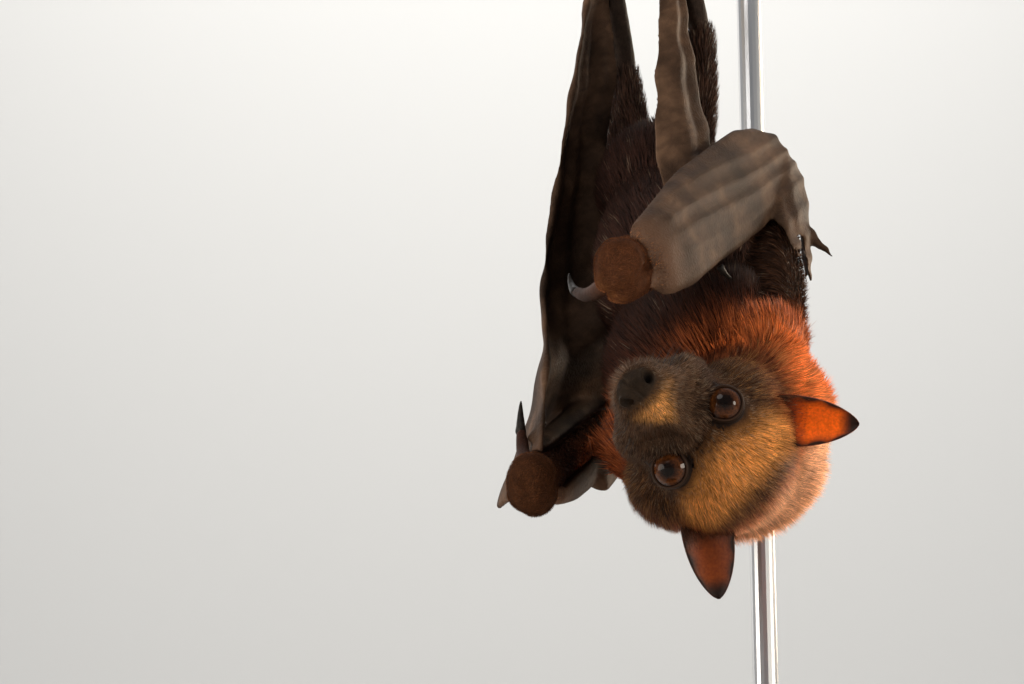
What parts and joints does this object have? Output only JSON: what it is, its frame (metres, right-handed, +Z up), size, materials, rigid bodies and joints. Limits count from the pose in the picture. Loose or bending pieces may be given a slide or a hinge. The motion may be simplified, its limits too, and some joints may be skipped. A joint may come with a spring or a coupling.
{
  "type": "hanging fruit bat model",
  "caption": "Still life-size fruit bat hanging head down by its feet from a cut branch, wings folded and face turned to the viewer, on a flat wooden base with an upright rod",
  "frame": {"origin": "the middle of the underside of the stand's base, on the surface that the model rests on", "axes": "+Z is up along the rod; -Y is the way the bat's face looks, towards the viewer; +X is the viewer's right. The bat hangs head down in front of the rod"},
  "size_m": [0.18, 0.2033, 0.4603],
  "materials": {
    "coat_fur": "dense soft fur, dark brown below and rust red on the mantle",
    "wing_skin": "thin bare skin, dull grey-brown, softly creased",
    "ear_skin": "thin bare skin, warm orange-brown with a dark rim",
    "nose_skin": "bare moist skin, dark olive-brown, fine grain",
    "eye_glass": "clear glossy, dark red-brown within",
    "claw_horn": "dark horn, half glossy",
    "bark_wood": "smooth grey-brown bark with pale cut ends",
    "base_wood": "planed hardwood, satin varnish",
    "rod_steel": "drawn steel rod, brushed"
  },
  "bodies": {
    "root": {"belly": "coat_fur", "chest": "coat_fur", "ear_left": "ear_skin", "ear_right": "ear_skin", "eye_left": "eye_glass", "eye_right": "eye_glass", "finger_fold_left": "wing_skin", "finger_fold_right": "wing_skin", "foot_left": "wing_skin", "foot_right": "wing_skin", "forearm_left": "coat_fur", "forearm_right": "coat_fur", "head": "coat_fur", "index_claw_left": "claw_horn", "index_claw_right": "claw_horn", "jaw": "coat_fur", "muzzle": "coat_fur", "neck": "coat_fur", "nose": "nose_skin", "perch_branch": "bark_wood", "rump": "coat_fur", "shin_left": "wing_skin", "shin_right": "wing_skin", "stand_base": "base_wood", "stand_rod": "rod_steel", "thigh_left": "coat_fur", "thigh_right": "coat_fur", "thumb_claw_left": "claw_horn", "thumb_claw_right": "claw_horn", "thumb_left": "wing_skin", "thumb_right": "wing_skin", "toe_claw_left_1": "claw_horn", "toe_claw_left_2": "claw_horn", "toe_claw_left_3": "claw_horn", "toe_claw_left_4": "claw_horn", "toe_claw_left_5": "claw_horn", "toe_claw_right_1": "claw_horn", "toe_claw_right_2": "claw_horn", "toe_claw_right_3": "claw_horn", "toe_claw_right_4": "claw_horn", "toe_claw_right_5": "claw_horn", "upper_arm_left": "coat_fur", "upper_arm_right": "coat_fur", "wing_web_left": "wing_skin", "wing_web_right": "wing_skin", "wrist_left": "coat_fur", "wrist_right": "coat_fur"}
  },
  "joints": []
}
